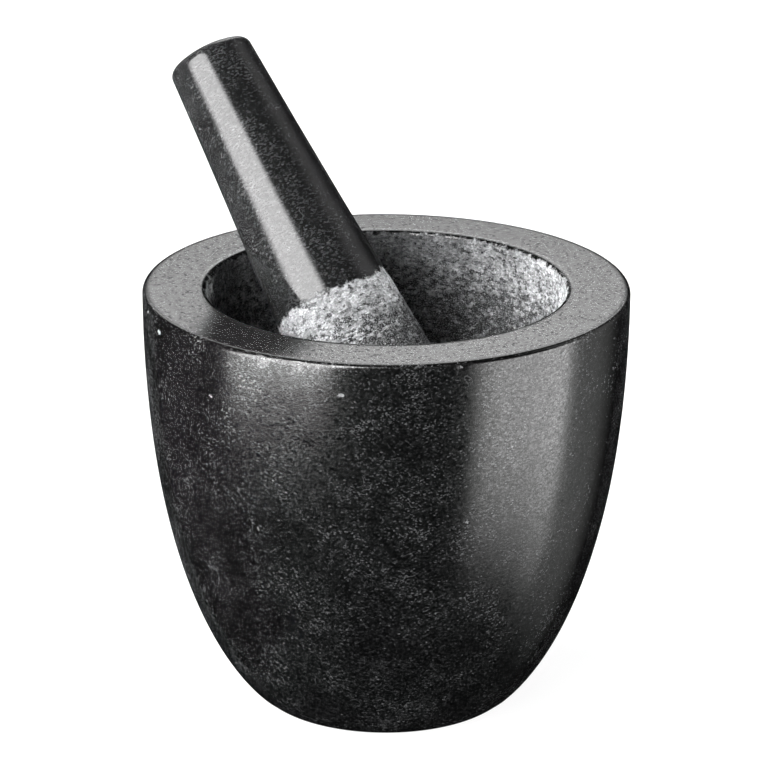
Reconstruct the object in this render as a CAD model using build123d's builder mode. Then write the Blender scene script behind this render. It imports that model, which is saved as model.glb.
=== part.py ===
from build123d import *
import os

# A footless granite mortar with its pestle leaning in the bowl, in millimetres.
# The origin is the centre of the mortar's flat base, and +Z is up.

# Mortar: outside
mortar_height = 124.0
mortar_radius = 70.0            # widest at the rim, where the side stands upright
base_radius = 38.3
base_flare = 42.0               # degrees above level at which the side leaves the base
base_flare_reach = 12.0         # how far that first slope carries
side_upright = 39.4             # height that the upright upper side steers from
side_top = 120.6                # height where the side is fully upright
base_round = 1.5
rim_round = 1.3

# Mortar: bowl
bowl_radius = 51.8              # at the mouth
bowl_floor = 38.0               # thickness of solid stone below the bowl
bowl_floor_reach = 34.0         # how far the floor runs level before it curves up
bowl_wall_reach = 64.0          # height that the steep upper wall steers from
bowl_wall_draft = 1.8           # how far the wall leans in at that height
lip_round = 1.5

# Pestle: along its own axis, from the grinding end at 0
pestle_length = 168.0
head_radius = 21.0
head_dome = 22.0                # length of the rounded grinding end
head_dome_reach = 12.0          # how blunt that end is
head_reach = 58.0               # length that the thick head steers from
neck_radius = 17.8
neck_height = 71.0
top_radius = 12.85
top_dome = 1.5
top_round = 2.5

# Pestle: at rest, leaning on the lip with its head against the far wall of the bowl
lean = 40.3                     # degrees from upright
lean_heading = 133.9            # degrees from +X towards +Y: back and to the left
rim_crossing = 31.35            # from the bowl's axis to the pestle's, at the height of the rim
head_below_rim = 96.85          # from that crossing down the pestle's axis to its grinding end


with BuildPart() as mortar:
    with BuildSketch(Plane.XZ) as half_section:
        with BuildLine():
            base = Line((0, 0), (base_radius, 0))
            flare = PolarLine(base @ 1, base_flare_reach, base_flare, mode=Mode.PRIVATE)
            side = Bezier(
                base @ 1,
                flare @ 1,
                (mortar_radius, side_upright),
                (mortar_radius, side_top),
            )
            edge = Line(side @ 1, (mortar_radius, mortar_height))
            rim = Line(edge @ 1, (bowl_radius, mortar_height))
            bowl = Bezier(
                rim @ 1,
                (bowl_radius - bowl_wall_draft, bowl_wall_reach),
                (bowl_floor_reach, bowl_floor),
                (0, bowl_floor),
            )
            Line(bowl @ 1, base @ 0)
        make_face()
        fillet(half_section.vertices().group_by(Axis.Y)[0].sort_by(Axis.X)[-1], base_round)
        fillet(half_section.vertices().group_by(Axis.Y)[-1].sort_by(Axis.X)[-1], rim_round)
        fillet(half_section.vertices().group_by(Axis.Y)[-1].sort_by(Axis.X)[0], lip_round)
    revolve(axis=Axis.Z)
mortar.part.label = "mortar"


lean_way = Vector(1, 0, 0).rotate(Axis.Z, lean_heading)
upward = Vector(0, 0, 1).rotate(Axis((0, 0, 0), Vector(0, 0, 1).cross(lean_way)), lean)
crossing = lean_way * rim_crossing + Vector(0, 0, mortar_height)
pestle_axis = Axis(crossing - upward * head_below_rim, upward)
pestle_plane = Plane(
    origin=pestle_axis.position,
    x_dir=upward.cross(lean_way.cross(upward)),
    z_dir=lean_way.cross(upward),
)

with BuildPart() as pestle:
    with BuildSketch(pestle_plane):
        with BuildLine():
            end = Bezier(
                (0, 0),
                (head_dome_reach, 0),
                (head_radius, head_dome / 2),
                (head_radius, head_dome),
            )
            shaft = Bezier(
                end @ 1,
                (head_radius, head_reach),
                (neck_radius, neck_height),
                (top_radius, pestle_length - top_dome),
            )
            cap = ThreePointArc(
                shaft @ 1,
                (top_radius / 2, pestle_length - top_dome / 4),
                (0, pestle_length),
            )
            Line(cap @ 1, end @ 0)
        make_face()
    revolve(axis=pestle_axis)
    top_edge = pestle.edges().filter_by(GeomType.CIRCLE).sort_by(SortBy.RADIUS)[0]
    fillet(top_edge, top_round)
pestle.part.label = "pestle"


os.makedirs("parts", exist_ok=True)
export_step(mortar.part, "parts/mortar.step")
export_step(pestle.part, "parts/pestle.step")
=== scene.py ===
import math

import bpy
import numpy as np
from mathutils import Matrix, Vector, noise


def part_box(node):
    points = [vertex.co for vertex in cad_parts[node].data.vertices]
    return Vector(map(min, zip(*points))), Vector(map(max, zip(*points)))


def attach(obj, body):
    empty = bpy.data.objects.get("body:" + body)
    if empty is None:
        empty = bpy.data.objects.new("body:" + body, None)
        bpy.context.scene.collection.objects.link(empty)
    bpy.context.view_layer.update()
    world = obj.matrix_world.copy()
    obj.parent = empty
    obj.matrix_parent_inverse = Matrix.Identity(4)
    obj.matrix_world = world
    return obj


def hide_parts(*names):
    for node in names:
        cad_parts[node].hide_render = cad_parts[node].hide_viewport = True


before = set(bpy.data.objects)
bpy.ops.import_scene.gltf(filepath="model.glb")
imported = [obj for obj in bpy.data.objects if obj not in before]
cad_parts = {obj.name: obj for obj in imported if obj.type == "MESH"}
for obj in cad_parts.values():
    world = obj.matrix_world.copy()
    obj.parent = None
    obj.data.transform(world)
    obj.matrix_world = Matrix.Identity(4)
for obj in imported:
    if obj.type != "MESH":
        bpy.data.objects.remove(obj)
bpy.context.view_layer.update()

# A black granite mortar and pestle: polished outside, ground inside the bowl and on the head.
# Sizes are in millimetres and become metres when a mesh is made.
MM = 0.001


# ---------------------------------------------------------------- sizes

MORTAR_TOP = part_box("mortar")[1] / MM
RIM_RADIUS = MORTAR_TOP.x
RIM_HEIGHT = MORTAR_TOP.z
BASE_RADIUS = 38.3
BASE_ROUND = 1.5
SIDE_FOOT = 0.6                     # height where the side takes over from the base's rounding
BASE_FLARE = (47.2, 8.0)            # where the side heads as it leaves the base
SIDE_UPRIGHT = 39.4                 # height that the upright upper side steers from
RIM_ROUND = 1.3
RIM_EDGE = 1.0                      # upright stretch just below the rim's rounding
LIP_ROUND = 1.5
BOWL_RADIUS = 51.8
BOWL_WALL = (50.0, 64.0)            # the steep upper wall steers from here
BOWL_CURVE = (34.0, 38.0)           # and the floor from here
BOWL_FLOOR = 38.0
GROUND_LIP = 1.5                    # how far up the lip's rounding the ground stone reaches
BASE_CENTRE = 3.0                   # radius of the last ring, before a point closes the mesh
BOWL_CENTRE = 1.0
MORTAR_SEGMENTS = 512
MORTAR_STEPS = {"base": 8.0, "side": 2.4, "edge": 0.5, "rim": 1.1, "bowl": 0.95}    # between rings

PESTLE_LENGTH = 168.0
HEAD_RADIUS = 21.0
HEAD_DOME = 22.0                    # length of the rounded grinding end
HEAD_DOME_REACH = 12.0
HEAD_REACH = 58.0
NECK_RADIUS = 17.8
NECK_HEIGHT = 71.0
TOP_RADIUS = 12.85
TOP_DOME = 1.5
TOP_DOME_REACH = 5.0                # how flat the dome is in its middle
TOP_SHOULDER = (2.5, 0.5)           # the dome's outer part steers in and down by this
TOP_ROUND = 2.5
PESTLE_CENTRE = 0.5                 # radius of the last ring at both ends
GROUND_HEAD = 83.0                  # length of the head that is left ground
LEAN = math.radians(40.3)           # from upright
LEAN_HEADING = math.radians(133.9)  # back and to the left
RIM_CROSSING = 31.35                # from the bowl's axis to the pestle's, at rim height
HEAD_BELOW_RIM = 96.85
PESTLE_SEGMENTS = 240
PESTLE_STEPS = {"head": 0.65, "side": 0.7, "crown": 1.2}

# Chips of fresh stone: (degrees right of the front, height, size)
RIM_CHIPS = [
    (-75.0, 121.5, 1.3), (-66.0, 119.0, 1.7), (-28.6, 122.8, 0.9), (-20.0, 122.8, 0.7),
    (17.0, 122.6, 0.8), (44.0, 120.6, 1.1), (112.0, 121.5, 1.8), (149.0, 122.0, 1.3),
    (-163.0, 121.2, 1.6), (-121.0, 122.0, 1.2),
]
WALL_CHIPS = [
    (-10.0, 115.0, 1.3), (-43.8, 108.0, 0.9), (-32.0, 71.0, 0.6), (19.5, 76.0, 0.8),
    (23.0, 74.0, 0.6), (56.0, 63.0, 0.6), (124.0, 97.0, 0.9), (-142.0, 84.0, 0.8),
    (176.0, 52.0, 0.7),
]
CHIP_FLATNESS = 1.9                 # how much wider than tall
CHIP_DEPTH = 0.22                   # share of a chip's size
CHIP_REACH = 1.5                    # where its hollow ends, in its sizes from its middle
CHIP_STAIN = 0.75                   # radius of its fresh stone, as a share of its size

# Relief: (height, size across, shift that sets its noise apart)
LARGE_LUMPS = (0.12, 3.1, 3.0)
SMALL_LUMPS = (0.10, 1.5, 11.0)
GROUND_PITS = (0.55, 2.1, 29.0)
GROUND_PIT_START = 0.25             # noise above this is a pit
POLISH_WAVES = (0.035, 19.0, 47.0)
RAGGED_LIP = (0.4, 6.0, 61.0)
RAGGED_NECK = (1.6, 9.0, 17.0)
RING_WANDER = (1.5, 25.0, 7.0)
RING_HEIGHT = 0.07                  # turning rings in the bowl
RING_SPACING = 3.4
GROUND_FADE = 1.5                   # length over which polish turns to ground relief
NECK_RELIEF = 0.25                  # share of the relief left where the head meets the handle
NECK_REACH = 30.0                   # and how far from there it is full
HEAD_SWELL = 0.1                    # how proud the ground head stands
WELL_INSIDE = 50.0                  # further into a zone than its edge ever wanders


# ---------------------------------------------------------------- outlines

def curve(a, b, c, d, spacing):
    """Points on a Bezier curve from a to d, about spacing apart, without a."""
    a, b, c, d = (np.array(p, float) for p in (a, b, c, d))
    t = np.linspace(0, 1, 400)[:, None]
    fine = (1 - t) ** 3 * a + 3 * (1 - t) ** 2 * t * b + 3 * (1 - t) * t**2 * c + t**3 * d
    travelled = np.concatenate([[0], np.cumsum(np.hypot(*np.diff(fine, axis=0).T))])
    stops = np.linspace(0, travelled[-1], max(2, round(travelled[-1] / spacing)) + 1)[1:]
    return np.stack([np.interp(stops, travelled, fine[:, k]) for k in (0, 1)], axis=1)


def line(a, b, spacing):
    """Points on a straight line from a to b, about spacing apart, without a."""
    a, b = np.array(a, float), np.array(b, float)
    steps = max(1, round(float(np.hypot(*(b - a))) / spacing))
    return a + (b - a) * np.linspace(0, 1, steps + 1)[1:, None]


def arc(centre, radius, start, end, steps):
    """Points on an arc, in degrees from outward towards upward, without its first point."""
    angle = np.radians(np.linspace(start, end, steps + 1)[1:])
    return np.array(centre) + radius * np.stack([np.cos(angle), np.sin(angle)], axis=1)


def mortar_outline():
    """The mortar's half section, from the middle of its base round to the middle of its bowl."""
    round_start = RIM_HEIGHT - RIM_ROUND
    straight_start = (RIM_RADIUS, round_start - RIM_EDGE)
    lip_radius = BOWL_RADIUS + LIP_ROUND
    lip_start = RIM_HEIGHT - LIP_ROUND
    steps = MORTAR_STEPS
    return [
        ("base", line((BASE_CENTRE, 0), (BASE_RADIUS - BASE_ROUND, 0), steps["base"])),
        ("base_edge", arc((BASE_RADIUS - BASE_ROUND, BASE_ROUND), BASE_ROUND, -90, -48, 3)),
        ("side", curve((BASE_RADIUS, SIDE_FOOT), BASE_FLARE, (RIM_RADIUS, SIDE_UPRIGHT),
                       straight_start, steps["side"])),
        ("rim_edge", line(straight_start, (RIM_RADIUS, round_start), steps["edge"])),
        ("rim_edge", arc((RIM_RADIUS - RIM_ROUND, round_start), RIM_ROUND, 0, 90, 8)),
        ("rim", line((RIM_RADIUS - RIM_ROUND, RIM_HEIGHT), (lip_radius, RIM_HEIGHT), steps["rim"])),
        ("lip", arc((lip_radius, lip_start), LIP_ROUND, 90, 180, 5)),
        ("bowl", curve((BOWL_RADIUS, lip_start), BOWL_WALL, BOWL_CURVE,
                       (BOWL_CENTRE, BOWL_FLOOR), steps["bowl"])),
    ]


def pestle_outline():
    """The pestle's half section along its own axis, from the grinding end to the handle's top."""
    crown_radius = TOP_RADIUS - TOP_ROUND
    crown_height = PESTLE_LENGTH - TOP_DOME - TOP_ROUND
    dome_start = (crown_radius + 0.6, PESTLE_LENGTH - TOP_DOME)
    dome_shoulder = (crown_radius - TOP_SHOULDER[0], PESTLE_LENGTH - TOP_SHOULDER[1])
    dome_middle = (TOP_DOME_REACH, PESTLE_LENGTH)
    steps = PESTLE_STEPS
    return [
        ("head", curve((PESTLE_CENTRE, 0), (HEAD_DOME_REACH, 0), (HEAD_RADIUS, HEAD_DOME / 2),
                       (HEAD_RADIUS, HEAD_DOME), steps["head"])),
        ("side", curve((HEAD_RADIUS, HEAD_DOME), (HEAD_RADIUS, HEAD_REACH),
                       (NECK_RADIUS, NECK_HEIGHT), (TOP_RADIUS, crown_height), steps["side"])),
        ("crown", arc((crown_radius, crown_height), TOP_ROUND, 4, 78, 8)),
        ("crown", curve(dome_start, dome_shoulder, dome_middle, (PESTLE_CENTRE, PESTLE_LENGTH),
                        steps["crown"])),
    ]


# ---------------------------------------------------------------- turned meshes

def travelled_along(points):
    """Length travelled along an outline at each of its points."""
    return np.concatenate([[0], np.cumsum(np.hypot(*np.diff(points, axis=0).T))])


def outward_normals(points):
    """Unit normals of an outline, pointing away from the stone."""
    along = np.gradient(points, axis=0)
    along /= np.linalg.norm(along, axis=1)[:, None]
    return np.stack([along[:, 1], -along[:, 0]], axis=1)


def turn(points, segments):
    """Rings of points and normals round +Z, ring after ring."""
    angle = np.arange(segments) * 2 * math.pi / segments
    ring = np.stack([np.cos(angle), np.sin(angle)], axis=1)

    def spin(pairs):
        flat = pairs[:, 0][:, None, None] * ring[None]
        height = np.broadcast_to(pairs[:, 1][:, None, None], flat.shape[:2] + (1,))
        return np.concatenate([flat, height], axis=2).reshape(-1, 3)

    return spin(points), spin(outward_normals(points))


def turned_mesh(name, places, segments, first_tip, last_tip, stand=Matrix()):
    """A closed mesh from rings of places, with a point closing each end, moved to its stand.

    Each vertex keeps the place it had before the move, for the materials."""
    rings = len(places) // segments
    ring, step = np.meshgrid(np.arange(rings - 1), np.arange(segments), indexing="ij")
    beside = (step + 1) % segments
    quads = np.stack([
        ring * segments + step,
        ring * segments + beside,
        (ring + 1) * segments + beside,
        (ring + 1) * segments + step,
    ], axis=-1).reshape(-1, 4)
    first, last = len(places), len(places) + 1
    top = (rings - 1) * segments
    fans = [(first, (k + 1) % segments, k) for k in range(segments)]
    fans += [(last, top + k, top + (k + 1) % segments) for k in range(segments)]
    mesh = bpy.data.meshes.new(name)
    own_places = np.concatenate([places, [first_tip, last_tip]])
    mesh.from_pydata((own_places * MM).tolist(), [], quads.tolist() + fans)
    mesh.transform(stand)
    mesh.shade_smooth()
    kept = mesh.attributes.new("place", "FLOAT_VECTOR", "POINT")
    kept.data.foreach_set("vector", own_places.astype(np.float32).ravel())
    piece = bpy.data.objects.new(name, mesh)
    bpy.context.scene.collection.objects.link(piece)
    return piece


def point_value(piece, name, values, tip_values):
    """Stores one number per vertex for the materials to read."""
    attribute = piece.data.attributes.new(name, "FLOAT", "POINT")
    attribute.data.foreach_set("value", np.concatenate([values, tip_values]).astype(np.float32))


# ---------------------------------------------------------------- relief

def noise_field(places, height, size, shift):
    """Smooth noise from -height to height, with lumps about size across."""
    offset = Vector((shift, -shift, 0.5 * shift))
    return height * np.array([noise.noise(Vector(p) / size + offset) for p in places])


def ground_relief(places):
    """Height of stone left by the grinding tool: lumps with small pits."""
    lumps = noise_field(places, *LARGE_LUMPS) + noise_field(places, *SMALL_LUMPS)
    pit_height, pit_size, pit_shift = GROUND_PITS
    pits = noise_field(places, 1.0, pit_size, pit_shift)
    return lumps - pit_height * np.clip(pits - GROUND_PIT_START, 0, 1)


def polished_relief(places):
    """The faint waviness that hand polishing leaves."""
    return noise_field(places, *POLISH_WAVES)


def smooth(x):
    """0 below 0, 1 above 1, smooth between."""
    x = np.clip(x, 0, 1)
    return x * x * (3 - 2 * x)


def on_outside(bearing, height):
    """The point of the mortar's outside at a bearing right of the front and a height."""
    outside = np.concatenate([p for n, p in mortar_outline() if n in ("side", "rim_edge")])
    radius = np.interp(height, outside[:, 1], outside[:, 0])
    turned = math.radians(bearing)
    return np.array([radius * math.sin(turned), -radius * math.cos(turned), height])


def chip_depth(places):
    """How much stone is missing at each place round the rim's edge."""
    depth = np.zeros(len(places))
    for bearing, height, size in RIM_CHIPS:
        away = np.linalg.norm(places - on_outside(bearing, height), axis=1)
        depth = np.maximum(depth, CHIP_DEPTH * size * smooth(CHIP_REACH - away / size))
    return depth


def build_mortar():
    stretches = mortar_outline()
    points = np.concatenate([p for _, p in stretches])
    zone = np.repeat([n for n, _ in stretches], [len(p) for _, p in stretches])
    travelled = travelled_along(points)
    bowl_start = travelled[np.argmax(zone == "bowl")]
    ground = travelled - bowl_start + GROUND_LIP
    places, normals = turn(points, MORTAR_SEGMENTS)

    def each(values):
        return np.repeat(values, MORTAR_SEGMENTS)

    ground = each(ground) + noise_field(places, *RAGGED_LIP)
    ground_share = smooth(ground / GROUND_FADE)
    turns = each(travelled) * 2 * math.pi / RING_SPACING
    rings = RING_HEIGHT * np.sin(turns + noise_field(places, *RING_WANDER))
    relief = ground_share * (ground_relief(places) + rings)
    relief += (1 - ground_share) * polished_relief(places) * each(zone == "side")
    relief -= chip_depth(places) * each(zone != "rim")
    places = places + normals * relief[:, None]
    piece = turned_mesh("mortar_stone", places, MORTAR_SEGMENTS, (0, 0, 0), (0, 0, BOWL_FLOOR))
    point_value(piece, "ground", ground, [-WELL_INSIDE, WELL_INSIDE])
    point_value(piece, "level", each(np.isin(zone, ["rim", "base"])).astype(float), [1, 0])
    return piece


def pestle_stand():
    """Where the pestle's own frame, with its axis along +Z, stands at rest."""
    heading = Vector((math.cos(LEAN_HEADING), math.sin(LEAN_HEADING), 0))
    axis = heading * math.sin(LEAN) + Vector((0, 0, math.cos(LEAN)))
    crossing = heading * RIM_CROSSING + Vector((0, 0, RIM_HEIGHT))
    foot = (crossing - axis * HEAD_BELOW_RIM) * MM
    tilt = Matrix.Rotation(LEAN, 4, Vector((0, 0, 1)).cross(heading))
    return Matrix.Translation(foot) @ tilt


def build_pestle():
    stretches = pestle_outline()
    points = np.concatenate([p for _, p in stretches])
    places, normals = turn(points, PESTLE_SEGMENTS)
    ground = GROUND_HEAD - places[:, 2] + noise_field(places, *RAGGED_NECK)
    ground_share = smooth(ground / GROUND_FADE)
    coarseness = NECK_RELIEF + (1 - NECK_RELIEF) * smooth(ground / NECK_REACH)
    relief = ground_share * (HEAD_SWELL + coarseness * ground_relief(places))
    relief += (1 - ground_share) * polished_relief(places)
    places = places + normals * relief[:, None]
    piece = turned_mesh("pestle_stone", places, PESTLE_SEGMENTS, (0, 0, 0), (0, 0, PESTLE_LENGTH),
                        pestle_stand())
    point_value(piece, "ground", ground, [WELL_INSIDE, -WELL_INSIDE])
    point_value(piece, "level", np.zeros(len(places)), [0, 0])
    return piece


# ---------------------------------------------------------------- material nodes

COOL_RED = 0.985                    # a slightly cool grey: red and blue as shares of green
COOL_BLUE = 1.02


class Graph:
    """Short ways to add shader nodes to one node tree."""

    def __init__(self, tree):
        self.tree = tree
        self.tree.nodes.clear()

    def add(self, kind, settings=None, **inputs):
        """A node, with its inputs set or linked by name."""
        node = self.tree.nodes.new("ShaderNode" + kind)
        for key, value in (settings or {}).items():
            setattr(node, key, value)
        for key, value in inputs.items():
            self.plug(node.inputs[key.replace("_", " ")], value)
        return node

    def plug(self, socket, value):
        """Links a socket to another node's output, or sets it to a value."""
        if isinstance(value, bpy.types.NodeSocket):
            self.tree.links.new(value, socket)
        else:
            socket.default_value = value

    def math(self, operation, a, b=0.0, c=0.0):
        """One sum on one, two or three numbers."""
        node = self.tree.nodes.new("ShaderNodeMath")
        node.operation = operation
        for socket, value in zip(node.inputs, (a, b, c)):
            self.plug(socket, value)
        return node.outputs[0]

    def vector_math(self, operation, *vectors):
        """One sum on vectors: a number for a distance, otherwise a vector."""
        node = self.tree.nodes.new("ShaderNodeVectorMath")
        node.operation = operation
        for socket, vector in zip(node.inputs, vectors):
            self.plug(socket, vector)
        return node.outputs["Value" if operation == "DISTANCE" else "Vector"]

    def squeezed(self, vector, share):
        """A vector whose patterns come out longer round the turning axis than along it."""
        return self.vector_math("MULTIPLY", vector, (share, share, 1.0))

    def noise(self, vector, size, detail=2.0, harshness=0.5):
        """Cloudy noise from 0 to 1, with lumps about size across."""
        node = self.add("TexNoise", Vector=vector, Scale=1 / size, Detail=detail,
                        Roughness=harshness)
        return node.outputs["Fac"]

    def ease(self, value, low, high, to_low=0.0, to_high=1.0):
        """to_low below low, to_high above high, smooth between."""
        node = self.tree.nodes.new("ShaderNodeMapRange")
        node.interpolation_type = "SMOOTHSTEP"
        for socket, number in zip(node.inputs, (value, low, high, to_low, to_high)):
            self.plug(socket, number)
        return node.outputs[0]

    def blend(self, share, a, b):
        """Colour or number a turning to b."""
        colours = isinstance(a, tuple) or isinstance(b, tuple)
        colours = colours or any(isinstance(v, bpy.types.NodeSocketColor) for v in (a, b))
        node = self.tree.nodes.new("ShaderNodeMix")
        node.data_type = "RGBA" if colours else "FLOAT"
        first = 6 if colours else 2
        self.plug(node.inputs[0], share)
        self.plug(node.inputs[first], a)
        self.plug(node.inputs[first + 1], b)
        return node.outputs[2 if colours else 0]

    def warped(self, vector, size, amount):
        """A vector pushed about by noise, so that what is drawn with it has ragged edges."""
        push = self.add("TexNoise", Vector=vector, Scale=1 / size, Detail=1.0).outputs["Color"]
        pushed = self.vector_math("MULTIPLY_ADD", push, (2 * amount,) * 3, vector)
        return self.vector_math("SUBTRACT", pushed, (amount,) * 3)

    def crystals(self, vector, size):
        """Packed crystals: two random numbers for each, and the distance to its edge."""
        cells = self.add("TexVoronoi", {"feature": "F1"}, Vector=vector, Scale=1 / size)
        split = self.add("SeparateColor", Color=cells.outputs["Color"])
        edge = self.add("TexVoronoi", {"feature": "DISTANCE_TO_EDGE"}, Vector=vector,
                        Scale=1 / size)
        return split.outputs[0], split.outputs[1], edge.outputs["Distance"]

    def swings(self, widths, **patterns):
        """The sum of patterns from 0 to 1, each stretched to its width and moved to lie about 0."""
        total = 0.0
        for name, pattern in patterns.items():
            width = widths[name]
            total = self.math("ADD", total, self.math("MULTIPLY_ADD", pattern, width, -width / 2))
        return total

    def near(self, vector, centre, size, flatness):
        """1 within about size of a centre sideways, and less upwards."""
        flattened = self.vector_math("MULTIPLY", vector, (1.0, 1.0, flatness))
        away = self.vector_math("DISTANCE", flattened, tuple(centre * (1.0, 1.0, flatness)))
        return self.ease(away, size * 0.7, size, 1.0, 0.0)

    def hairlines(self, vector, size, width):
        """Sparse thin curved lines, 1 on the line."""
        wave = self.noise(vector, size, 2, 0.5)
        off_line = self.math("ABSOLUTE", self.math("SUBTRACT", wave, 0.5))
        here = self.ease(self.noise(vector, size * 0.5, 1), 0.60, 0.66)
        return self.math("MULTIPLY", here, self.ease(off_line, width * 0.3, width, 1.0, 0.0))

    def tinted(self, level):
        """A near-neutral colour of changing brightness, slightly cool."""
        return self.add("CombineColor", Red=self.math("MULTIPLY", level, COOL_RED), Green=level,
                        Blue=self.math("MULTIPLY", level, COOL_BLUE)).outputs[0]

    def value(self, name):
        """A number stored on the mesh."""
        return self.add("Attribute", {"attribute_name": name}).outputs["Fac"]


def grey(level):
    """A near-neutral colour, slightly cool."""
    return (level * COOL_RED, level, level * COOL_BLUE, 1.0)


# ---------------------------------------------------------------- granite

# Each stone's look. Polished: stretch is how long its crystals are along the axis compared with
# round it, wear how open their seams are, gloss how brightly the polish mirrors, darkness its
# colour, and fleck how far its crystals differ. Ground: paleness is its colour and contrast how
# far its crystals differ.
MORTAR_LOOK = {"stretch": 0.65, "wear": 1.0, "gloss": 1.0, "darkness": 0.0035, "fleck": 1.0,
               "paleness": 0.168, "contrast": 0.80}
PESTLE_LOOK = {"stretch": 0.50, "wear": 0.25, "gloss": 0.75, "darkness": 0.0102, "fleck": 0.42,
               "paleness": 0.235, "contrast": 0.72}

# Sizes in the stone's pattern
POLISHED_CRYSTAL = 0.37
POLISHED_GRAIN = 0.36
POLISHED_CLOUD = 13.0
GROUND_CRYSTAL = 0.44
GROUND_GRAIN = 0.38
GROUND_CLOUD = 4.0
SPARK_CLOUD = (0.45, 0.65)          # where a cloud starts to hold more sparks, and holds most
HAIRLINE_SIZE = 9.0
HAIRLINE_WIDTH = 0.004
GROUND_STRETCH = 0.6                # how long ground crystals are along the axis, against round it
FRAYING_SIZE = 2.6                  # size and reach of the frayed edge between polish and ground
FRAYING_REACH = 1.0
GROUND_EDGE = (-0.6, 0.8)           # where the ground look starts, and where it is full

# Push that makes crystals and chips ragged: (its size, how far it goes)
POLISHED_WARP = (0.6, 0.1)
GROUND_WARP = (0.9, 0.3)
CHIP_WARP = (0.45, 0.9)

# Seams between crystals: (where a seam is deepest, where it is gone), as shares of a crystal's
# size from its edge, and the noise between which they go from closed to open
POLISHED_SEAM = (0.04, 0.22)
POLISHED_OPENING = (0.30, 0.70)
POLISHED_OPENING_SIZE = 0.7
POLISHED_LEAST_OPEN = 0.1
GROUND_SEAM = (0.04, 0.24)
GROUND_OPENING = (0.38, 0.54)
GROUND_OPENING_SIZE = 1.2
# Painted shade: dark seams get commoner further into the ground zone, so the bowl darkens towards its
# bottom and the pestle's head towards its end
GROUND_SHADE_REACH = 25.0         # how far into the ground zone seams keep getting commoner
GROUND_SHADE_SHIFT = (-0.14, 0.04)

# How far each pattern swings the stone's colour, as powers of e
POLISHED_SWINGS = {"tone": 3.9, "grain": 5.6, "cloud": 4.6}
GROUND_SWINGS = {"tone": 1.2, "grain": 2.4, "cloud": 2.4}

# Level faces, which are the rim and the base, are evener, duller and paler than the side.
LEVEL_EVENNESS = 0.75
LEVEL_LIFT = 1.0
LEVEL_SOFTNESS = 0.13
LEVEL_SMOOTHNESS = 0.8
PIT_RARITY = 0.86                   # crystals above this rarity are pits on a level face
PIT_LOSS = 0.8                      # share of the shine that a pit loses

PALEST_FLECK = 0.03                 # of the least rare crystals
PALEST_SPREAD = 0.10                # added for the rarest
POLISH_SHINE = 0.58
SHINE_SPREAD = 0.30                 # between the dullest and the brightest crystals
POLISHED_GRAIN_HEIGHT = 0.006
POLISHED_SEAM_DEPTH = 0.010
SEAM_COLOUR = 0.001
SEAM_SHINE = 0.33
SEAM_ROUGHNESS = 0.27
POLISH_ROUGHNESS = 0.045
CRYSTAL_ROUGHNESS = 0.17            # added to the polish of the roughest crystals
GRAZING = (0.46, 0.74)              # where the side's shine starts to fade, and where it is gone
SPARK_RARITY = (0.998, 0.985)       # crystals above this are sparks: outside clouds, and in them
SPARK_SHARE = 0.4
SPARK_COLOUR = 0.10
HAIRLINE_SHARE = 0.25
HAIRLINE_COLOUR = 0.12
GROUND_ROUGHNESS = 0.65
GROUND_GRAIN_HEIGHT = 0.15
GROUND_TONE_HEIGHT = 0.12
GROUND_SEAM_DEPTH = 0.45
GROUND_SEAM_COLOUR = 0.010
GROUND_SEAM_SHARE = 0.93
PALEST_GROUND = 0.7
CHIP_COLOUR = 0.15
CHIP_ROUGHNESS = 0.6
STONE_IOR = 1.55


def polished_colour(g, place, look, crystal, grain, cloud, level):
    """Near-black stone with paler flecks in clouds, dark seams, a few sparks and fine lines."""
    tone, rarity, seam = crystal
    strength = g.swings(POLISHED_SWINGS, tone=tone, grain=grain, cloud=cloud)
    strength = g.math("MULTIPLY", strength, look["fleck"])
    strength = g.math("MULTIPLY", strength, g.math("MULTIPLY_ADD", level, -LEVEL_EVENNESS, 1.0))
    strength = g.math("MULTIPLY_ADD", level, LEVEL_LIFT, strength)
    palest = g.math("MULTIPLY_ADD", rarity, PALEST_SPREAD, PALEST_FLECK)
    bright = g.math("MULTIPLY", g.math("EXPONENT", strength), look["darkness"])
    colour = g.blend(seam, g.tinted(g.math("MINIMUM", bright, palest)), grey(SEAM_COLOUR))

    spark_start = g.ease(cloud, *SPARK_CLOUD, *SPARK_RARITY)
    is_spark = g.math("GREATER_THAN", rarity, spark_start)
    spark = g.math("MULTIPLY", is_spark, g.math("SUBTRACT", 1.0, level))
    colour = g.blend(g.math("MULTIPLY", spark, SPARK_SHARE), colour, grey(SPARK_COLOUR))
    fine_line = g.hairlines(place, HAIRLINE_SIZE, HAIRLINE_WIDTH)
    fine_line = g.math("MULTIPLY", fine_line, HAIRLINE_SHARE)
    return g.blend(fine_line, colour, grey(HAIRLINE_COLOUR))


def polished_shine(g, look, crystal, level):
    """How brightly the polish mirrors: less in seams and pits, and not at all at a grazing angle."""
    tone, rarity, seam = crystal
    spread = SHINE_SPREAD * look["wear"]
    shine = g.math("MULTIPLY_ADD", tone, spread, POLISH_SHINE - spread / 2)
    shine = g.blend(seam, shine, SEAM_SHINE)
    pit = g.math("MULTIPLY", g.math("GREATER_THAN", rarity, PIT_RARITY), level)
    shine = g.math("MULTIPLY", shine, g.math("MULTIPLY_ADD", pit, -PIT_LOSS, look["gloss"]))
    facing_away = g.add("LayerWeight").outputs["Facing"]
    grazing = g.math("MULTIPLY", g.ease(facing_away, *GRAZING), g.math("SUBTRACT", 1.0, level))
    return g.math("MULTIPLY", shine, g.math("SUBTRACT", 1.0, grazing))


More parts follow.
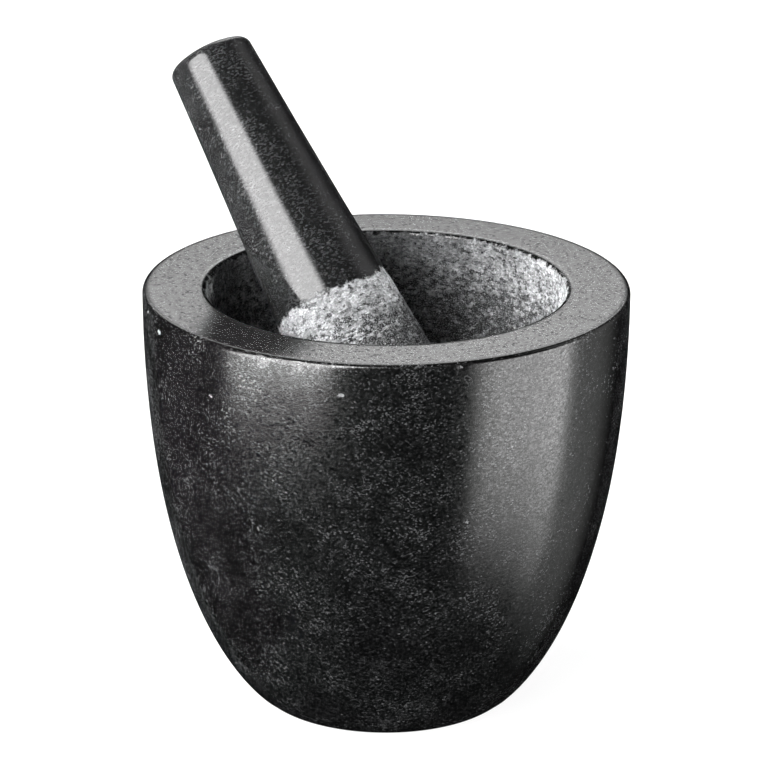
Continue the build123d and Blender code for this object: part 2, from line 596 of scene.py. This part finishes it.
def polished_stone(g, place, look):
    """Colour, roughness, shine and height of black granite polished by hand."""
    stretched = g.squeezed(g.warped(place, *POLISHED_WARP), look["stretch"])
    tone, rarity, edge = g.crystals(stretched, POLISHED_CRYSTAL)
    cloud = g.noise(place, POLISHED_CLOUD, 4, 0.6)
    grain = g.noise(stretched, POLISHED_GRAIN, 2, 0.6)
    level = g.value("level")
    opening = g.noise(stretched, POLISHED_OPENING_SIZE, 3)
    openness = g.ease(opening, *POLISHED_OPENING, POLISHED_LEAST_OPEN * look["wear"], look["wear"])
    seam = g.math("MULTIPLY", openness, g.ease(edge, *POLISHED_SEAM, 1.0, 0.0))
    crystal = (tone, rarity, seam)

    colour = polished_colour(g, place, look, crystal, grain, cloud, level)
    shine = polished_shine(g, look, crystal, level)

    upright = g.math("SUBTRACT", 1.0, level)
    uneven = g.math("MULTIPLY", g.math("MULTIPLY", rarity, rarity), upright)
    rough = g.math("MULTIPLY_ADD", uneven, CRYSTAL_ROUGHNESS * look["wear"], POLISH_ROUGHNESS)
    open_seam = g.math("MULTIPLY", seam, upright)
    rough = g.blend(open_seam, rough, SEAM_ROUGHNESS)
    rough = g.math("MULTIPLY_ADD", level, LEVEL_SOFTNESS, rough)

    height = g.math("MULTIPLY", open_seam, -POLISHED_SEAM_DEPTH)
    height = g.math("MULTIPLY_ADD", grain, POLISHED_GRAIN_HEIGHT * look["wear"], height)
    height = g.math("MULTIPLY", height, g.math("MULTIPLY_ADD", level, -LEVEL_SMOOTHNESS, 1.0))
    return colour, rough, shine, height


def ground_stone(g, place, look):
    """The same granite where the tool left it: pale, pitted and dull."""
    stretched = g.squeezed(g.warped(place, *GROUND_WARP), GROUND_STRETCH)
    tone, rarity, edge = g.crystals(stretched, GROUND_CRYSTAL)
    cloud = g.noise(place, GROUND_CLOUD, 3, 0.6)
    grain = g.noise(place, GROUND_GRAIN, 2, 0.6)
    # Painted shade: more open dark seams deeper into the bowl and towards the pestle's grinding end
    shift = g.ease(g.value("ground"), 0.0, GROUND_SHADE_REACH, *GROUND_SHADE_SHIFT)
    opening = g.noise(stretched, GROUND_OPENING_SIZE, 3)
    openness = g.ease(g.math("ADD", opening, shift), *GROUND_OPENING)
    seam = g.math("MULTIPLY", openness, g.ease(edge, *GROUND_SEAM, 1.0, 0.0))
    strength = g.swings(GROUND_SWINGS, tone=tone, grain=grain, cloud=cloud)
    strength = g.math("MULTIPLY", strength, look["contrast"])
    bright = g.math("MULTIPLY", g.math("EXPONENT", strength), look["paleness"])
    bright = g.tinted(g.math("MINIMUM", bright, PALEST_GROUND))
    colour = g.blend(g.math("MULTIPLY", seam, GROUND_SEAM_SHARE), bright, grey(GROUND_SEAM_COLOUR))
    height = g.math("MULTIPLY", seam, -GROUND_SEAM_DEPTH)
    height = g.math("MULTIPLY_ADD", grain, GROUND_GRAIN_HEIGHT, height)
    height = g.math("MULTIPLY_ADD", tone, GROUND_TONE_HEIGHT, height)
    return colour, GROUND_ROUGHNESS, 0.0, g.math("MULTIPLY", height, look["contrast"] ** 2)


def granite(name, look, chips):
    """Polished granite, ground where the mesh says so, with fresh stone in the chips."""
    material = bpy.data.materials.new(name)
    material.use_nodes = True
    g = Graph(material.node_tree)
    place = g.add("Attribute", {"attribute_name": "place"}).outputs["Vector"]

    fraying = g.noise(place, FRAYING_SIZE, 4, 0.65)
    fraying = g.ease(fraying, 0.25, 0.75, -FRAYING_REACH, FRAYING_REACH)
    is_ground = g.ease(g.math("ADD", g.value("ground"), fraying), *GROUND_EDGE)

    polished = polished_stone(g, place, look)
    ground = ground_stone(g, place, look)
    colour, rough, shine, height = (g.blend(is_ground, a, b) for a, b in zip(polished, ground))

    broken = g.warped(place, *CHIP_WARP)
    for bearing, chip_height, size in chips:
        centre = on_outside(bearing, chip_height)
        chip = g.near(broken, centre, size * CHIP_STAIN, CHIP_FLATNESS)
        colour = g.blend(chip, colour, grey(CHIP_COLOUR))
        rough = g.blend(chip, rough, CHIP_ROUGHNESS)

    bump = g.add("Bump", Strength=1.0, Distance=MM, Height=height)
    skin = g.add("BsdfPrincipled", Base_Color=colour, Roughness=rough, IOR=STONE_IOR,
                 Specular_IOR_Level=shine, Normal=bump.outputs[0])
    g.add("OutputMaterial", Surface=skin.outputs[0])
    return material


# ---------------------------------------------------------------- studio

CAMERA_DISTANCE = 1.1
CAMERA_HEIGHT_ANGLE = math.radians(19.7)
CAMERA_AIM = Vector((0, 0, 0.0931))
CAMERA_ROLL = math.radians(0.25)
CAMERA_LENS = 177.0


def make_camera():
    """In front of the object and a little above it, looking down."""
    data = bpy.data.cameras.new("camera")
    data.lens = CAMERA_LENS
    data.clip_start = 0.01
    camera = bpy.data.objects.new("camera", data)
    bpy.context.scene.collection.objects.link(camera)
    back = Vector((0, -math.cos(CAMERA_HEIGHT_ANGLE), math.sin(CAMERA_HEIGHT_ANGLE)))
    turn_to_aim = (-back).to_track_quat("-Z", "Y").to_matrix().to_4x4()
    roll = Matrix.Rotation(CAMERA_ROLL, 4, "Z")
    camera.matrix_world = Matrix.Translation(CAMERA_AIM + back * CAMERA_DISTANCE) @ turn_to_aim @ roll
    bpy.context.scene.camera = camera


# Lights as the stone sees them. Angles in degrees: bearing is right of the front, height is
# above the horizon. Each side is (where it is dark, where it is fully bright). A light that
# leans has its bearings shifted right by lean for each degree above LEAN_FOOT. The polish
# mirrors a light at its "mirrored" brightness, and dull stone is lit at its "cast" brightness.
# In order: the tall box on the left, mirrored in the handle's strip; two softer boxes on the left
# that light the dull stone; the box on the right, mirrored in the side; a softer one for the dull
# stone; faint walls on the right and left; the two halves of the bright backdrop, mirrored in the
# rim; a faint panel in front; and a faint glow from all round, except from below.
LIGHTS = [
    {"left": (-82, -72), "right": (-23, -30), "low": (-20.2, -18.9), "high": (48, 40), "lean": 0.3,
     "mirrored": 12.6, "cast": 0.9},
    {"left": (-104, -94), "right": (-50, -56), "low": (-10, -2), "high": (18, 12), "lean": 0.0,
     "mirrored": 0.0, "cast": 25.0},
    {"left": (-128, -120), "right": (-80, -86), "low": (12, 18), "high": (58, 52), "lean": 0.0,
     "mirrored": 0.0, "cast": 50.0},
    {"left": (38, 52), "right": (101, 91), "low": (-46, -19), "high": (14, 0), "lean": 0.0,
     "mirrored": 5.4, "cast": 0.0},
    {"left": (62, 72), "right": (125, 115), "low": (-24, -14), "high": (16, 8), "lean": 0.0,
     "mirrored": 0.0, "cast": 32.0},
    {"left": (80, 95), "right": (145, 115), "low": (-50, -30), "high": (60, 40), "lean": 0.0,
     "mirrored": 0.56, "cast": 0.6},
    {"left": (-150, -120), "right": (-80, -90), "low": (-50, -30), "high": (30, 10), "lean": 0.0,
     "mirrored": 0.04, "cast": 0.2},
    {"left": (-181, -180), "right": (-150, -165), "low": (12, 23), "high": (80, 62), "lean": 0.0,
     "mirrored": 2.85, "cast": 3.0},
    {"left": (150, 165), "right": (181, 180), "low": (12, 23), "high": (80, 62), "lean": 0.0,
     "mirrored": 2.85, "cast": 3.0},
    {"left": (-24, -14), "right": (50, 30), "low": (6, 12), "high": (34, 26), "lean": 0.0,
     "mirrored": 0.25, "cast": 0.0},
    {"left": (-181, -180), "right": (181, 180), "low": (-60, -25), "high": (91, 90), "lean": 0.0,
     "mirrored": 0.018, "cast": 0.02},
]
LEAN_FOOT = -18.0
DIM_ROOM = 0.008

FLOOR_HALF = 3.0
FLOOR_PAINT = 0.12
FLOOR_GLOW = 0.93                   # as the camera sees it: nearly white
FLOOR_CAST = 0.03                   # as the stone sees it


def between(g, value, low, high):
    """1 between the low and high edges, 0 outside."""
    return g.math("MULTIPLY", g.ease(value, *low), g.ease(value, high[1], high[0], 1.0, 0.0))


def make_world():
    """White to the camera; to the stone, a dim room with soft boxes and a bright backdrop."""
    world = bpy.data.worlds.new("studio")
    world.use_nodes = True
    bpy.context.scene.world = world
    g = Graph(world.node_tree)
    x, y, z = g.add("SeparateXYZ", Vector=g.add("TexCoord").outputs["Generated"]).outputs
    bearing = g.math("DEGREES", g.math("ARCTAN2", x, g.math("MULTIPLY", y, -1.0)))
    height = g.math("DEGREES", g.math("ARCSINE", z))
    rays = g.add("LightPath").outputs
    light = DIM_ROOM
    for box in LIGHTS:
        shift = g.math("MULTIPLY", g.math("SUBTRACT", height, LEAN_FOOT), -box["lean"])
        across = between(g, g.math("ADD", bearing, shift), box["left"], box["right"])
        upright = between(g, height, box["low"], box["high"])
        brightness = g.blend(rays["Is Diffuse Ray"], box["mirrored"], box["cast"])
        light = g.math("MULTIPLY_ADD", g.math("MULTIPLY", across, upright), brightness, light)
    seen = g.blend(rays["Is Camera Ray"], light, 1.0)
    background = g.add("Background", Color=(1, 1, 1, 1), Strength=seen)
    g.add("OutputWorld", Surface=background.outputs[0])


def make_floor():
    """A plain floor, nearly white to the camera and dim to the stone."""
    mesh = bpy.data.meshes.new("floor")
    corners = [(x * FLOOR_HALF, y * FLOOR_HALF, 0) for x, y in ((-1, -1), (1, -1), (1, 1), (-1, 1))]
    mesh.from_pydata(corners, [], [(0, 1, 2, 3)])
    floor = bpy.data.objects.new("floor", mesh)
    bpy.context.scene.collection.objects.link(floor)
    material = bpy.data.materials.new("pale_floor")
    material.use_nodes = True
    g = Graph(material.node_tree)
    paint = g.add("BsdfDiffuse", Color=(FLOOR_PAINT, FLOOR_PAINT, FLOOR_PAINT, 1))
    seen = g.blend(g.add("LightPath").outputs["Is Camera Ray"], FLOOR_CAST, FLOOR_GLOW)
    glow = g.add("Emission", Color=(1, 1, 1, 1), Strength=seen)
    both = g.add("AddShader")
    g.plug(both.inputs[0], paint.outputs[0])
    g.plug(both.inputs[1], glow.outputs[0])
    g.add("OutputMaterial", Surface=both.outputs[0])
    mesh.materials.append(material)
    floor.visible_glossy = False
    floor.visible_shadow = False


# ---------------------------------------------------------------- the whole object

mortar = build_mortar()
mortar.data.materials.append(granite("mortar_granite", MORTAR_LOOK, RIM_CHIPS + WALL_CHIPS))
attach(mortar, "mortar")
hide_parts("mortar")

pestle = build_pestle()
pestle.data.materials.append(granite("pestle_granite", PESTLE_LOOK, []))
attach(pestle, "pestle")
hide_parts("pestle")

make_world()
make_floor()
make_camera()
bpy.context.scene.view_settings.view_transform = "Standard"
